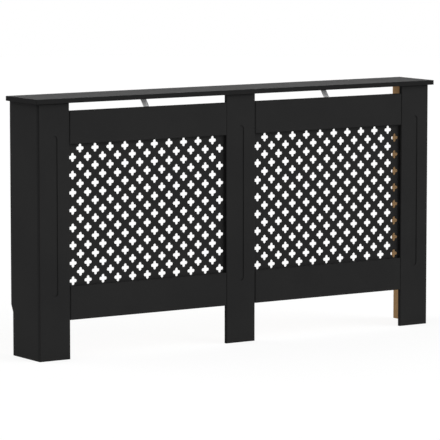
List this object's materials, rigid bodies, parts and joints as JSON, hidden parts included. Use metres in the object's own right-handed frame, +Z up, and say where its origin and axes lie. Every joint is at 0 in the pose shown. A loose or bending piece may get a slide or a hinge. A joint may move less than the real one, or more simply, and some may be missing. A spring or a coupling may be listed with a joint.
{
  "type": "radiator cover cabinet",
  "caption": "Long black board cover that stands over a wall radiator: slim top shelf, broad fluted legs, and pierced lattice bays of small round-ended crosses.",
  "frame": {"origin": "on the floor, in the middle of the whole cover's length and depth, so the wall plane is y = +0.095", "axes": "+X along the wall, to the right seen from the room; +Y towards the wall, so the lattice faces -Y; +Z up"},
  "size_m": [1.52, 0.19, 0.815],
  "materials": {
    "black_board": "satin black paint on fibreboard, raw brown board on the faces that look in",
    "steel": "zinc plated",
    "beech": "raw"
  },
  "bodies": {
    "root": {"top_board": "black_board", "leg_left": "black_board", "leg_centre": "black_board", "leg_right": "black_board", "upper_rail_left": "black_board", "lower_rail_left": "black_board", "upper_rail_right": "black_board", "lower_rail_right": "black_board", "lattice_left": "black_board", "lattice_right": "black_board", "side_panel_left": "black_board", "side_panel_right": "black_board", "brace_left": "steel", "brace_left_rail_screw": "steel", "brace_left_board_screw": "steel", "brace_right": "steel", "brace_right_rail_screw": "steel", "brace_right_board_screw": "steel", "side_bracket_left_lower": "steel", "side_bracket_left_lower_screw_1": "steel", "side_bracket_left_lower_screw_2": "steel", "side_bracket_left_upper": "steel", "side_bracket_left_upper_screw_1": "steel", "side_bracket_left_upper_screw_2": "steel", "top_bracket_left": "steel", "top_bracket_left_screw_1": "steel", "top_bracket_left_screw_2": "steel", "side_bracket_right_lower": "steel", "side_bracket_right_lower_screw_1": "steel", "side_bracket_right_lower_screw_2": "steel", "side_bracket_right_upper": "steel", "side_bracket_right_upper_screw_1": "steel", "side_bracket_right_upper_screw_2": "steel", "top_bracket_right": "steel", "top_bracket_right_screw_1": "steel", "top_bracket_right_screw_2": "steel", "top_bracket_centre": "steel", "top_bracket_centre_screw_1": "steel", "top_bracket_centre_screw_2": "steel", "dowel_upper_left_outer_low": "beech", "dowel_upper_left_outer_high": "beech", "dowel_upper_left_inner_low": "beech", "dowel_upper_left_inner_high": "beech", "dowel_lower_left_outer_low": "beech", "dowel_lower_left_outer_high": "beech", "dowel_lower_left_inner_low": "beech", "dowel_lower_left_inner_high": "beech", "dowel_upper_right_outer_low": "beech", "dowel_upper_right_outer_high": "beech", "dowel_upper_right_inner_low": "beech", "dowel_upper_right_inner_high": "beech", "dowel_lower_right_outer_low": "beech", "dowel_lower_right_outer_high": "beech", "dowel_lower_right_inner_low": "beech", "dowel_lower_right_inner_high": "beech"}
  },
  "joints": []
}
